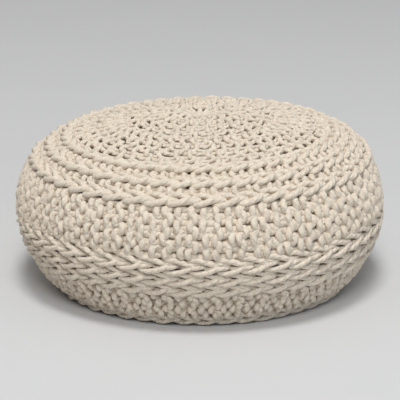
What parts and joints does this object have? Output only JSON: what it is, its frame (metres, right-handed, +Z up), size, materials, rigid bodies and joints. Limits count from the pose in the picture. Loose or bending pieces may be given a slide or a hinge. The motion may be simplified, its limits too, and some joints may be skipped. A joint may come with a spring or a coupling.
{
  "type": "knitted pouf",
  "caption": "Low round filled pouf in a chunky cotton cord knit, gathered at the crown, with raised chains on its shoulder, belt and rim, resting on a flat base.",
  "frame": {"origin": "middle of the flat base, on the floor", "axes": "+Z up through the crown's gathered middle; -Y is the front; +X is the viewer's right, the fuller shoulder"},
  "size_m": [0.6001, 0.5966, 0.2833],
  "materials": {
    "cotton_cord": "matt thick plied cotton cord in a warm undyed cream, knitted and a little fuzzy"
  },
  "bodies": {
    "root": {"knitted_pouf": "cotton_cord"}
  },
  "joints": []
}
